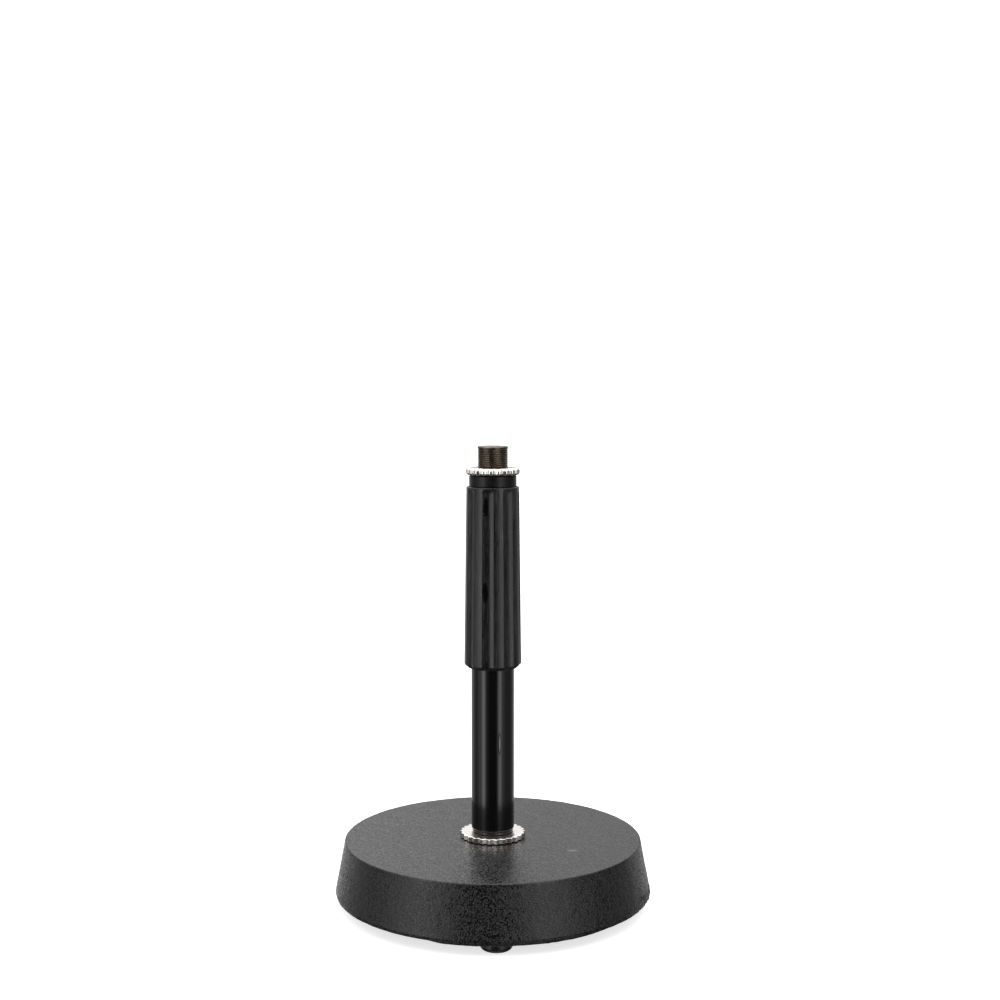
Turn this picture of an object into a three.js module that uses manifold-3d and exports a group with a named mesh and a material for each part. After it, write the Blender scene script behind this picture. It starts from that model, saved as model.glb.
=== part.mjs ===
// Desktop microphone stand: a round cast base on rubber feet, a telescoping mast with a
// twist clutch, and a 5/8"-27 stud for the microphone clip. Millimetres, +Z up. The origin
// is on the mast's axis at the level of the feet, and the mast is stored fully lowered.

import * as THREE from 'three';
import { mergeVertices } from 'three/addons/utils/BufferGeometryUtils.js';
import Module from 'manifold-3d';

const wasm = await Module();
wasm.setup();

// ---- driving dimensions ----------------------------------------------------------------

const CLEARANCE = 0.3; // gap between pieces that touch on the real stand
const ROUND_SEGMENTS = 32; // facets round each mast piece
const SMALL_SEGMENTS = 16; // facets round each foot and fastener
const OVERLAP = 1; // how far solids that are joined or cut run past each other

const THREAD_RADIUS = 7.9375; // 5/8"-27 microphone stand thread
const THREADED_HOLE_RADIUS = THREAD_RADIUS + CLEARANCE;
const WELD_DISTANCE = 1e-4; // corners closer than this are one corner

const HEIGHT_TRAVEL = 101.6; // how far the upper tube rises

const BASE_SEGMENTS = 64;
const SLEEVE_SEGMENTS = 64;
const BASE_TOP_Z = 34.1;
const BASE_TOP_RADIUS = 76.75;
const BASE_RIM_Z = 6.1;
const BASE_RIM_RADIUS = 81.8;
const BASE_PLATE = 5; // thickness of the top plate
const BASE_WALL = 5; // thickness of the skirt
const BASE_EDGE_CHAMFER = 0.8;
const BASE_RIM_CHAMFER = 1;
const SKIRT_RIM_CHAMFER = 0.6;
const SKIRT_FILLET = 2;
const HUB_RADIUS = 18;
const HUB_BOTTOM_Z = 10.5;
const HUB_DRAFT = 1; // how much wider the hub is at the plate
const HUB_FILLET = 1.5;
const RIB_COUNT = 4;
const RIB_WIDTH = 5;
const RIB_BOTTOM_Z = 14;
const RIB_BITE = 3; // how far each rib runs into the skirt

const FOOT_COUNT = 4;
const FOOT_RING_RADIUS = 70; // distance of each foot from the mast's axis
const FOOT_PHASE = THREE.MathUtils.degToRad(1.4); // turn of the first foot from -Y
const FOOT_RADIUS = 8;
const FOOT_FLAT_RADIUS = 5;
const FOOT_BULGE_Z = 2.5; // level where the foot starts to round in
const FOOT_SEAT_Z = 8.5; // level of the casting's face that the foot sits on
const FOOT_BOSS_RADIUS = 8.8;
const FOOT_BOSS_TOP_RADIUS = 6.8; // drawn in so that the boss stays inside the skirt
const FOOT_RECESS_RADIUS = 8.5; // where the rim is cut back round each foot
const FOOT_POCKET_RADIUS = 3.3; // pocket for the screw's head
const FOOT_POCKET_Z = 4;
const SCREW_RADIUS = 1.6;
const SCREW_HEAD_RADIUS = 2.9;
const SCREW_HEAD_Z = 0.9;
const SCREW_HEAD_HEIGHT = 1.7;
const SCREW_HEAD_DOME = 0.8;
const SCREW_TIP_Z = 17;
const SCREW_POINT = 1; // height of the pointed tip
const SCREW_HOLE_TOP_Z = SCREW_TIP_Z + 0.5;
const SCREW_HOLE_RADIUS = SCREW_RADIUS + CLEARANCE;
const WASHER_RADIUS = 3;
const WASHER_THICKNESS = 0.8;

const BASE_RING_RADIUS = 17;
const BASE_RING_HEIGHT = 2.8;
const BASE_RING_TEETH = 26;
const TOP_RING_RADIUS = 13.9;
const TOP_RING_HEIGHT = 3.8;
const TOP_RING_TEETH = 20;
const TOP_RING_Z = 223.1;
const SCALLOP_DEPTH = 0.75;
const LAND_FRACTION = 0.3; // part of each tooth's pitch that stays at full radius

const LOWER_TUBE_RADIUS = 11.1; // 7/8 inch tube
const LOWER_TUBE_BORE = 9.7;
const LOWER_TUBE_TOP_Z = 186;
const STUD_BORE = 3.5;
const FLANGE_RADIUS = 10.5;
const FLANGE_Z = 37.5;
const FLANGE_TOP_Z = 38.8;
const LOWER_STUD_TIP_Z = 11;
const LOWER_STUD_TOP_Z = 52;

const UPPER_TUBE_RADIUS = 7.95; // 5/8 inch tube
const UPPER_TUBE_BORE = 6.5;
const UPPER_TUBE_TOP_Z = 222.8;
const STOP_BEAD_RADIUS = 8.8;
const STOP_BEAD_HEIGHT = 2.5;
const STOP_GAP = 0.5; // between the bead and the clutch body at full height
const GUIDE_BUSH_HEIGHT = 9;
const RETAINER_THICKNESS = 0.8;
const RETAINER_RADIUS = 9.2;
const RETAINER_GAP = 5;
const GROOVE_RADIUS = 7.35;
const TUBE_END_LAND = 1.6; // tube below the groove
const STUD_TOP_Z = 237.9;
const STUD_SPIGOT_Z = 204;
const STUD_CHAMFER = 0.8;

const CLUTCH_BODY_BOTTOM_Z = 170;
const CLUTCH_BODY_TOP_Z = 206;
const CLUTCH_FLANGE_HEIGHT = 2;
const CLUTCH_BORE = UPPER_TUBE_RADIUS + 0.35; // running fit on the upper tube
const CLUTCH_THREAD_RADIUS = 10.6;
const CONE_BOTTOM_Z = 192;
const CONE_TOP_RADIUS = 10;
const COLLET_BOTTOM_Z = 198;
const COLLET_TOP_Z = 211;
const COLLET_HEAD_HEIGHT = 4;
const COLLET_SLIT = 1.6;
const THRUST_WASHER_HEIGHT = 1;

const NUT_BORE = CLUTCH_THREAD_RADIUS + CLEARANCE;
const NUT_RADIUS = 11.9;
const NUT_BOTTOM_Z = 189;
const SLEEVE_BORE = NUT_RADIUS + CLEARANCE;
const SLEEVE_BOTTOM_Z = 123.6;
const SLEEVE_CORNER_Z = 125.4;
const SLEEVE_BOTTOM_RADIUS = 14.75;
const SLEEVE_TOP_Z = 217.1;
const SLEEVE_TOP_RADIUS = 13.6;
const SLEEVE_EDGE_CHAMFER = 0.4;
const FLUTE_COUNT = 8;
const FLUTE_DEPTH = 0.75;
const FLUTE_CUTTER_RADIUS = 7.8;
const FLUTE_CUTTER_OVERRUN = 5; // past the sleeve's lower edge
const FLUTE_TOP_Z = 213;
const FLUTE_PHASE = THREE.MathUtils.degToRad(-10);
const NECK_RADIUS = 12.2;
const NECK_TOP_Z = 222.8;
const NECK_CHAMFER = 0.5;
const CAP_LIP_HEIGHT = 2; // inner lip that presses on the thrust washer
const NECK_WALL_RADIUS = 10; // pocket in the cap that holds its bushing
const SKIRT_BUSH_HEIGHT = 6.5;
const SKIRT_BUSH_INSET = 1; // above the sleeve's lower edge
const SKIRT_BUSH_PLAY = 0.25; // a closer fit than elsewhere, as the liner is thin

// ---- shapes ----------------------------------------------------------------------------

// A ring turned about +Z from a closed outline of [radius, z] corners.
function turned(outline, segments = ROUND_SEGMENTS) {
  const points = outline.map(([radius, z]) => new THREE.Vector2(radius, z));
  if (THREE.ShapeUtils.area(points) < 0) points.reverse();
  points.push(points[0].clone());
  const geometry = new THREE.LatheGeometry(points, segments);
  geometry.rotateX(Math.PI / 2);
  return geometry;
}

// A plain ring between two radii and two levels.
function ring(innerRadius, outerRadius, bottomZ, topZ, segments = ROUND_SEGMENTS) {
  return turned([
    [innerRadius, bottomZ],
    [outerRadius, bottomZ],
    [outerRadius, topZ],
    [innerRadius, topZ],
  ], segments);
}

// A solid rod along +Z, standing at (x, y).
function rod(radius, bottomZ, topZ, x = 0, y = 0, segments = SMALL_SEGMENTS) {
  const geometry = new THREE.CylinderGeometry(radius, radius, topZ - bottomZ, segments);
  geometry.rotateX(Math.PI / 2);
  geometry.translate(x, y, (bottomZ + topZ) / 2);
  return geometry;
}

// Corners of a rounded edge: a quarter arc about (centreR, centreZ) between two angles.
function arc(centreR, centreZ, radiusR, radiusZ, startDeg, endDeg, steps) {
  const corners = [];
  for (let step = 0; step <= steps; step += 1) {
    const angle = THREE.MathUtils.degToRad(startDeg + ((endDeg - startDeg) * step) / steps);
    corners.push([centreR + radiusR * Math.cos(angle), centreZ + radiusZ * Math.sin(angle)]);
  }
  return corners;
}

function toSolid(geometry) {
  const bare = geometry.clone();
  bare.deleteAttribute('normal');
  bare.deleteAttribute('uv');
  const merged = mergeVertices(bare, WELD_DISTANCE);
  return new wasm.Manifold(new wasm.Mesh({
    numProp: 3,
    vertProperties: new Float32Array(merged.attributes.position.array),
    triVerts: new Uint32Array(merged.index.array),
  }));
}

function toGeometry(solid) {
  const mesh = solid.getMesh();
  const geometry = new THREE.BufferGeometry();
  geometry.setAttribute('position', new THREE.BufferAttribute(mesh.vertProperties, 3));
  geometry.setIndex(new THREE.BufferAttribute(mesh.triVerts, 1));
  geometry.computeVertexNormals();
  return geometry;
}

// Joins the first geometry with the added ones, then cuts the others away.
function shaped(geometry, added, cut) {
  let solid = toSolid(geometry);
  for (const piece of added) solid = solid.add(toSolid(piece));
  for (const piece of cut) solid = solid.subtract(toSolid(piece));
  return toGeometry(solid);
}

// A flat ring whose edge is a row of shallow scallops for the fingers.
function scallopedRing(radius, height, teeth, bottomZ) {
  const outline = new THREE.Shape();
  const pitch = (2 * Math.PI) / teeth;
  const scallopSteps = 4;
  const corner = (distance, angle) => [distance * Math.sin(angle), -distance * Math.cos(angle)];
  for (let tooth = 0; tooth < teeth; tooth += 1) {
    const start = (tooth + LAND_FRACTION / 2) * pitch;
    for (let step = 0; step <= scallopSteps; step += 1) {
      const part = step / scallopSteps;
      const angle = start + part * (1 - LAND_FRACTION) * pitch;
      const [x, y] = corner(radius - SCALLOP_DEPTH * Math.sin(Math.PI * part), angle);
      if (tooth === 0 && step === 0) outline.moveTo(x, y);
      else outline.lineTo(x, y);
    }
  }
  const hole = new THREE.Path();
  hole.absarc(0, 0, THREADED_HOLE_RADIUS, 0, 2 * Math.PI, true);
  outline.holes.push(hole);
  const geometry = new THREE.ExtrudeGeometry(outline, {
    depth: height,
    bevelEnabled: false,
    curveSegments: ROUND_SEGMENTS,
  });
  geometry.translate(0, 0, bottomZ);
  return geometry;
}

// ---- base ------------------------------------------------------------------------------

const footCentres = [];
for (let foot = 0; foot < FOOT_COUNT; foot += 1) {
  const angle = FOOT_PHASE + (foot * 2 * Math.PI) / FOOT_COUNT;
  footCentres.push([FOOT_RING_RADIUS * Math.sin(angle), -FOOT_RING_RADIUS * Math.cos(angle)]);
}

// Tapered boss that a foot is screwed to.
function footBoss(topZ, x, y) {
  const height = topZ - FOOT_SEAT_Z;
  const geometry = new THREE.CylinderGeometry(
    FOOT_BOSS_TOP_RADIUS, FOOT_BOSS_RADIUS, height, SMALL_SEGMENTS);
  geometry.rotateX(Math.PI / 2);
  geometry.translate(x, y, FOOT_SEAT_Z + height / 2);
  return geometry;
}

// Thick plate with a conical skirt, open underneath, with a hub for the mast's thread.
function baseCasting() {
  const plateZ = BASE_TOP_Z - BASE_PLATE;
  const skirtTopRadius = BASE_TOP_RADIUS - BASE_WALL;
  const skirtRimRadius = BASE_RIM_RADIUS - BASE_WALL;
  const shell = turned([
    [THREADED_HOLE_RADIUS, BASE_TOP_Z],
    [THREADED_HOLE_RADIUS, HUB_BOTTOM_Z],
    [HUB_RADIUS, HUB_BOTTOM_Z],
    [HUB_RADIUS + HUB_DRAFT, plateZ - HUB_FILLET],
    [HUB_RADIUS + HUB_DRAFT + HUB_FILLET, plateZ],
    [skirtTopRadius - SKIRT_FILLET, plateZ],
    [skirtTopRadius, plateZ - SKIRT_FILLET],
    [skirtRimRadius, BASE_RIM_Z + SKIRT_RIM_CHAMFER],
    [skirtRimRadius + SKIRT_RIM_CHAMFER, BASE_RIM_Z],
    [BASE_RIM_RADIUS - BASE_RIM_CHAMFER, BASE_RIM_Z],
    [BASE_RIM_RADIUS, BASE_RIM_Z + BASE_RIM_CHAMFER],
    [BASE_TOP_RADIUS, BASE_TOP_Z - BASE_EDGE_CHAMFER],
    [BASE_TOP_RADIUS - BASE_EDGE_CHAMFER, BASE_TOP_Z],
  ], BASE_SEGMENTS);

  const ribs = [];
  for (let rib = 0; rib < RIB_COUNT; rib += 1) {
    const ribLength = skirtTopRadius - HUB_RADIUS + OVERLAP + RIB_BITE;
    const ribHeight = plateZ - RIB_BOTTOM_Z + OVERLAP;
    const geometry = new THREE.BoxGeometry(ribLength, RIB_WIDTH, ribHeight);
    geometry.translate(HUB_RADIUS - OVERLAP + ribLength / 2, 0, RIB_BOTTOM_Z + ribHeight / 2);
    geometry.rotateZ(((rib + 0.5) * 2 * Math.PI) / RIB_COUNT);
    ribs.push(geometry);
  }
  const bosses = footCentres.map(([x, y]) => footBoss(plateZ + OVERLAP, x, y));
  const recesses = footCentres.map(
    ([x, y]) => rod(FOOT_RECESS_RADIUS, BASE_RIM_Z - OVERLAP, FOOT_SEAT_Z, x, y));
  const screwHoles = footCentres.map(
    ([x, y]) => rod(SCREW_HOLE_RADIUS, FOOT_SEAT_Z - OVERLAP, SCREW_HOLE_TOP_Z, x, y));
  return shaped(shell, [...ribs, ...bosses], [...recesses, ...screwHoles]);
}

// Domed rubber foot with a flat bottom and a pocket for its screw.
function rubberFoot() {
  const side = arc(
    FOOT_FLAT_RADIUS, FOOT_BULGE_Z, FOOT_RADIUS - FOOT_FLAT_RADIUS, FOOT_BULGE_Z, -90, 0, 3);
  return turned([
    [FOOT_POCKET_RADIUS, 0],
    ...side,
    [FOOT_RADIUS, FOOT_SEAT_Z - CLEARANCE],
    [SCREW_HOLE_RADIUS, FOOT_SEAT_Z - CLEARANCE],
    [SCREW_HOLE_RADIUS, FOOT_POCKET_Z],
    [FOOT_POCKET_RADIUS, FOOT_POCKET_Z],
  ], SMALL_SEGMENTS);
}

function footWasher() {
  const topZ = FOOT_POCKET_Z - CLEARANCE;
  return ring(SCREW_HOLE_RADIUS, WASHER_RADIUS, topZ - WASHER_THICKNESS, topZ, SMALL_SEGMENTS);
}

// Pan-head screw, head down.
function footScrew() {
  const points = [
    [0, SCREW_HEAD_Z],
    [SCREW_HEAD_RADIUS - SCREW_HEAD_DOME, SCREW_HEAD_Z],
    [SCREW_HEAD_RADIUS, SCREW_HEAD_Z + SCREW_HEAD_DOME],
    [SCREW_HEAD_RADIUS, SCREW_HEAD_Z + SCREW_HEAD_HEIGHT],
    [SCREW_RADIUS, SCREW_HEAD_Z + SCREW_HEAD_HEIGHT],
    [SCREW_RADIUS, SCREW_TIP_Z - SCREW_POINT],
    [0, SCREW_TIP_Z],
  ].map(([radius, z]) => new THREE.Vector2(radius, z));
  const geometry = new THREE.LatheGeometry(points, SMALL_SEGMENTS);
  geometry.rotateX(Math.PI / 2);
  return geometry;
}

// ---- lower mast ------------------------------------------------------------------------

// Threaded stud with a flange and a spigot that is pressed into the lower tube.
function lowerStud() {
  return turned([
    [STUD_BORE, LOWER_STUD_TIP_Z],
    [THREAD_RADIUS - STUD_CHAMFER, LOWER_STUD_TIP_Z],
    [THREAD_RADIUS, LOWER_STUD_TIP_Z + STUD_CHAMFER],
    [THREAD_RADIUS, FLANGE_Z],
    [FLANGE_RADIUS, FLANGE_Z],
    [FLANGE_RADIUS, FLANGE_TOP_Z],
    [LOWER_TUBE_BORE - CLEARANCE, FLANGE_TOP_Z],
    [LOWER_TUBE_BORE - CLEARANCE, LOWER_STUD_TOP_Z],
    [STUD_BORE, LOWER_STUD_TOP_Z],
  ]);
}

function lowerTube() {
  return ring(LOWER_TUBE_BORE, LOWER_TUBE_RADIUS, FLANGE_TOP_Z + CLEARANCE, LOWER_TUBE_TOP_Z);
}

// Threaded collar pressed into the lower tube's top, with a conical seat for the collet.
function clutchBody() {
  const flangeZ = LOWER_TUBE_TOP_Z + CLEARANCE;
  return turned([
    [CLUTCH_BORE, CLUTCH_BODY_BOTTOM_Z],
    [LOWER_TUBE_BORE - CLEARANCE, CLUTCH_BODY_BOTTOM_Z],
    [LOWER_TUBE_BORE - CLEARANCE, flangeZ],
    [LOWER_TUBE_RADIUS, flangeZ],
    [LOWER_TUBE_RADIUS, flangeZ + CLUTCH_FLANGE_HEIGHT],
    [CLUTCH_THREAD_RADIUS, flangeZ + CLUTCH_FLANGE_HEIGHT],
    [CLUTCH_THREAD_RADIUS, CLUTCH_BODY_TOP_Z],
    [CONE_TOP_RADIUS, CLUTCH_BODY_TOP_Z],
    [CLUTCH_BORE, CONE_BOTTOM_Z],
  ]);
}

// ---- twist clutch ----------------------------------------------------------------------

// Tapered split bush that the cone squeezes onto the upper tube.
function collet() {
  const taper = (CONE_TOP_RADIUS - CLUTCH_BORE) / (CLUTCH_BODY_TOP_Z - CONE_BOTTOM_Z);
  const seatRadius = (z) => CLUTCH_BORE + taper * (z - CONE_BOTTOM_Z) - CLEARANCE;
  const headZ = COLLET_TOP_Z - COLLET_HEAD_HEIGHT;
  const body = turned([
    [UPPER_TUBE_RADIUS + CLEARANCE, COLLET_BOTTOM_Z],
    [seatRadius(COLLET_BOTTOM_Z), COLLET_BOTTOM_Z],
    [seatRadius(CLUTCH_BODY_TOP_Z), CLUTCH_BODY_TOP_Z],
    [seatRadius(CLUTCH_BODY_TOP_Z), headZ],
    [CLUTCH_THREAD_RADIUS - CLEARANCE, headZ],
    [CLUTCH_THREAD_RADIUS - CLEARANCE, COLLET_TOP_Z],
    [UPPER_TUBE_RADIUS + CLEARANCE, COLLET_TOP_Z],
  ]);
  const slitHeight = COLLET_TOP_Z - COLLET_BOTTOM_Z + 2 * OVERLAP;
  const slit = new THREE.BoxGeometry(COLLET_SLIT, LOWER_TUBE_RADIUS, slitHeight);
  slit.translate(0, LOWER_TUBE_RADIUS / 2, (COLLET_BOTTOM_Z + COLLET_TOP_Z) / 2);
  return shaped(body, [], [slit]);
}

function thrustWasher() {
  const bottomZ = COLLET_TOP_Z + CLEARANCE;
  return ring(CLUTCH_BORE, CLUTCH_THREAD_RADIUS - CLEARANCE, bottomZ, bottomZ + THRUST_WASHER_HEIGHT);
}

const CAP_BOTTOM_Z = COLLET_TOP_Z + THRUST_WASHER_HEIGHT + 2 * CLEARANCE;
const CAP_LIP_TOP_Z = CAP_BOTTOM_Z + CAP_LIP_HEIGHT;

// Nut inside the grip that runs on the clutch body's thread.
function clutchNut() {
  return ring(NUT_BORE, NUT_RADIUS, NUT_BOTTOM_Z, SLEEVE_TOP_Z);
}

// Long tapered sleeve with shallow flutes that stop short of its upper edge.
function gripSleeve() {
  const slope = (SLEEVE_BOTTOM_RADIUS - SLEEVE_TOP_RADIUS) / (SLEEVE_TOP_Z - SLEEVE_CORNER_Z);
  const shell = turned([
    [SLEEVE_BORE, SLEEVE_BOTTOM_Z],
    [SLEEVE_BOTTOM_RADIUS, SLEEVE_CORNER_Z],
    [SLEEVE_TOP_RADIUS, SLEEVE_TOP_Z - SLEEVE_EDGE_CHAMFER],
    [SLEEVE_TOP_RADIUS - SLEEVE_EDGE_CHAMFER, SLEEVE_TOP_Z],
    [SLEEVE_BORE, SLEEVE_TOP_Z],
  ], SLEEVE_SEGMENTS);
  const cutterLength = FLUTE_TOP_Z - SLEEVE_BOTTOM_Z + FLUTE_CUTTER_OVERRUN;
  const cutterZ = FLUTE_TOP_Z - cutterLength / 2;
  const radiusThere = SLEEVE_TOP_RADIUS + slope * (SLEEVE_TOP_Z - cutterZ);
  const flutes = [];
  for (let flute = 0; flute < FLUTE_COUNT; flute += 1) {
    const cutter = rod(
      FLUTE_CUTTER_RADIUS, -cutterLength / 2, cutterLength / 2, 0, 0, SLEEVE_SEGMENTS);
    cutter.rotateX(-Math.atan(slope));
    cutter.translate(0, -(radiusThere - FLUTE_DEPTH + FLUTE_CUTTER_RADIUS), cutterZ);
    cutter.rotateZ(FLUTE_PHASE + (flute * 2 * Math.PI) / FLUTE_COUNT);
    flutes.push(cutter);
  }
  return shaped(shell, [], flutes);
}

// Neck that closes the grip's top, presses on the thrust washer and holds a bushing.
function gripCap() {
  return turned([
    [CLUTCH_BORE, CAP_BOTTOM_Z],
    [CLUTCH_THREAD_RADIUS, CAP_BOTTOM_Z],
    [CLUTCH_THREAD_RADIUS, SLEEVE_TOP_Z + CLEARANCE],
    [NECK_RADIUS, SLEEVE_TOP_Z + CLEARANCE],
    [NECK_RADIUS, NECK_TOP_Z - NECK_CHAMFER],
    [NECK_RADIUS - NECK_CHAMFER, NECK_TOP_Z],
    [NECK_WALL_RADIUS, NECK_TOP_Z],
    [NECK_WALL_RADIUS, CAP_LIP_TOP_Z],
    [CLUTCH_BORE, CAP_LIP_TOP_Z],
  ]);
}

function capBushing() {
  return ring(
    UPPER_TUBE_RADIUS + CLEARANCE, NECK_WALL_RADIUS - CLEARANCE,
    CAP_LIP_TOP_Z + CLEARANCE, NECK_TOP_Z - NECK_CHAMFER);
}

// Thin liner that centres the sleeve's lower end on the tube.
function skirtBush() {
  const bottomZ = SLEEVE_BOTTOM_Z + SKIRT_BUSH_INSET;
  return ring(
    LOWER_TUBE_RADIUS + SKIRT_BUSH_PLAY, SLEEVE_BORE - SKIRT_BUSH_PLAY,
    bottomZ, bottomZ + SKIRT_BUSH_HEIGHT);
}

// ---- upper mast ------------------------------------------------------------------------

const BEAD_TOP_Z = CLUTCH_BODY_BOTTOM_Z - STOP_GAP - HEIGHT_TRAVEL;
const BEAD_BOTTOM_Z = BEAD_TOP_Z - STOP_BEAD_HEIGHT;
const GUIDE_BUSH_TOP_Z = BEAD_BOTTOM_Z - CLEARANCE;
const GUIDE_BUSH_BOTTOM_Z = GUIDE_BUSH_TOP_Z - GUIDE_BUSH_HEIGHT;
const GROOVE_TOP_Z = GUIDE_BUSH_BOTTOM_Z - CLEARANCE;
const GROOVE_BOTTOM_Z = GROOVE_TOP_Z - RETAINER_THICKNESS - 2 * CLEARANCE;
const UPPER_TUBE_BOTTOM_Z = GROOVE_BOTTOM_Z - TUBE_END_LAND;

// Inner tube with a groove for the retaining ring and a rolled bead that stops it.
function upperTube() {
  const beadCentreZ = (BEAD_BOTTOM_Z + BEAD_TOP_Z) / 2;
  const bead = arc(
    UPPER_TUBE_RADIUS, beadCentreZ, STOP_BEAD_RADIUS - UPPER_TUBE_RADIUS,
    STOP_BEAD_HEIGHT / 2, -90, 90, 4);
  return turned([
    [UPPER_TUBE_BORE, UPPER_TUBE_BOTTOM_Z],
    [UPPER_TUBE_RADIUS, UPPER_TUBE_BOTTOM_Z],
    [UPPER_TUBE_RADIUS, GROOVE_BOTTOM_Z],
    [GROOVE_RADIUS, GROOVE_BOTTOM_Z],
    [GROOVE_RADIUS, GROOVE_TOP_Z],
    [UPPER_TUBE_RADIUS, GROOVE_TOP_Z],
    ...bead,
    [UPPER_TUBE_RADIUS, UPPER_TUBE_TOP_Z],
    [UPPER_TUBE_BORE, UPPER_TUBE_TOP_Z],
  ]);
}

function guideBush() {
  return ring(
    UPPER_TUBE_RADIUS + CLEARANCE, LOWER_TUBE_BORE - CLEARANCE,
    GUIDE_BUSH_BOTTOM_Z, GUIDE_BUSH_TOP_Z);
}

// Spring clip with a gap, in the groove under the guide bush.
function bushRetainingRing() {
  const bottomZ = GROOVE_BOTTOM_Z + CLEARANCE;
  const body = ring(
    GROOVE_RADIUS + CLEARANCE, RETAINER_RADIUS, bottomZ, bottomZ + RETAINER_THICKNESS);
  const gapDepth = RETAINER_RADIUS + OVERLAP;
  const gap = new THREE.BoxGeometry(RETAINER_GAP, gapDepth, RETAINER_THICKNESS + 2 * OVERLAP);
  gap.translate(0, gapDepth / 2, bottomZ);
  return shaped(body, [], [gap]);
}

// Threaded stud whose spigot is pressed into the upper tube.
function upperStud() {
  return turned([
    [STUD_BORE, STUD_SPIGOT_Z],
    [UPPER_TUBE_BORE - CLEARANCE, STUD_SPIGOT_Z],
    [UPPER_TUBE_BORE - CLEARANCE, UPPER_TUBE_TOP_Z + CLEARANCE],
    [THREAD_RADIUS, UPPER_TUBE_TOP_Z + CLEARANCE],
    [THREAD_RADIUS, STUD_TOP_Z - STUD_CHAMFER],
    [THREAD_RADIUS - STUD_CHAMFER, STUD_TOP_Z],
    [STUD_BORE, STUD_TOP_Z],
  ]);
}

// ---- materials and assembly ------------------------------------------------------------

const finishes = {
  casting: { color: 0x1b1b1c, roughness: 0.6, metalness: 0.2 },
  rubber: { color: 0x0c0c0c, roughness: 0.8, metalness: 0 },
  steel: { color: 0x9a9a98, roughness: 0.35, metalness: 1 },
  blackSteel: { color: 0x0e0d0c, roughness: 0.3, metalness: 0.4 },
  nickel: { color: 0xc8bda6, roughness: 0.2, metalness: 1 },
  darkNickel: { color: 0x64564c, roughness: 0.35, metalness: 1 },
  enamel: { color: 0x050505, roughness: 0.1, metalness: 0 },
  sleeve: { color: 0x141415, roughness: 0.35, metalness: 0 },
  neck: { color: 0x101011, roughness: 0.3, metalness: 0.2 },
  brass: { color: 0xb08d4a, roughness: 0.35, metalness: 1 },
  nylon: { color: 0xe6e2d4, roughness: 0.5, metalness: 0 },
};

const stand = new THREE.Group();

function place(name, geometry, finish, x = 0, y = 0) {
  const mesh = new THREE.Mesh(geometry, new THREE.MeshStandardMaterial(finishes[finish]));
  mesh.name = name;
  mesh.position.set(x, y, 0);
  stand.add(mesh);
}

place('base_casting', baseCasting(), 'casting');
footCentres.forEach(([x, y], index) => {
  place(`rubber_foot_${index + 1}`, rubberFoot(), 'rubber', x, y);
  place(`foot_washer_${index + 1}`, footWasher(), 'steel', x, y);
  place(`foot_screw_${index + 1}`, footScrew(), 'steel', x, y);
});

const baseRingZ = BASE_TOP_Z + CLEARANCE;
place('base_lock_ring',
  scallopedRing(BASE_RING_RADIUS, BASE_RING_HEIGHT, BASE_RING_TEETH, baseRingZ), 'nickel');
place('lower_stud', lowerStud(), 'blackSteel');
place('lower_tube', lowerTube(), 'enamel');
place('clutch_body', clutchBody(), 'steel');

place('collet', collet(), 'nylon');
place('thrust_washer', thrustWasher(), 'brass');
place('clutch_nut', clutchNut(), 'steel');
place('grip_sleeve', gripSleeve(), 'sleeve');
place('grip_cap', gripCap(), 'neck');
place('cap_bushing', capBushing(), 'nylon');
place('skirt_bush', skirtBush(), 'nylon');

place('guide_bush', guideBush(), 'nylon');
place('bush_retaining_ring', bushRetainingRing(), 'steel');
place('upper_tube', upperTube(), 'enamel');
place('upper_stud', upperStud(), 'darkNickel');
place('top_lock_ring',
  scallopedRing(TOP_RING_RADIUS, TOP_RING_HEIGHT, TOP_RING_TEETH, TOP_RING_Z), 'nickel');

export default stand;
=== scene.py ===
"""Looks of a desktop microphone stand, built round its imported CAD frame. Metres, +Z up."""

from functools import lru_cache
import math

import bmesh
import bpy
from mathutils import Matrix, Vector, noise


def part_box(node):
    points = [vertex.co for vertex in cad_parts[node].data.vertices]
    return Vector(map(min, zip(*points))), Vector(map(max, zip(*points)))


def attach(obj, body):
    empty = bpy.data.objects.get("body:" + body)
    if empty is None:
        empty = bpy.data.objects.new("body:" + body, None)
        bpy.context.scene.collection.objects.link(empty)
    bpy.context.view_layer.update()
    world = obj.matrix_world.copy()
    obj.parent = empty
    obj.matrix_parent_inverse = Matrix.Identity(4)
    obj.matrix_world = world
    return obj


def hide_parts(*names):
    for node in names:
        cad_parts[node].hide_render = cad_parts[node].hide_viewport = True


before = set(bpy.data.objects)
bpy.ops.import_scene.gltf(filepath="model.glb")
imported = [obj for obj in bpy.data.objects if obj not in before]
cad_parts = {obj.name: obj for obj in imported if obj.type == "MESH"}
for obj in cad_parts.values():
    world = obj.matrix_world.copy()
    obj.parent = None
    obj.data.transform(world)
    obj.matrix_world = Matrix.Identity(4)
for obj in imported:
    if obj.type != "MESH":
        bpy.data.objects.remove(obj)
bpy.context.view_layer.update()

MM = 0.001

# ---- driving dimensions, in millimetres unless a name says degrees ----------------------

FINE = 192  # facets round each visible turned piece
COARSE = 64  # facets round each hidden or small piece
SHARP_EDGE_DEG = 38  # edges sharper than this aren't smoothed

THREAD_PITCH = 25.4 / 27  # 5/8"-27 microphone thread
THREAD_DEPTH = 0.55
THREAD_ROWS = 8  # rows of vertices along each turn of thread
THREAD_CREST = 0.12  # share of half a turn left flat at the crest, and again at the root
CLUTCH_PITCH = 1.0
STUD_BORE = 3.5
HOLE_CLEARANCE = 0.3

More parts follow.
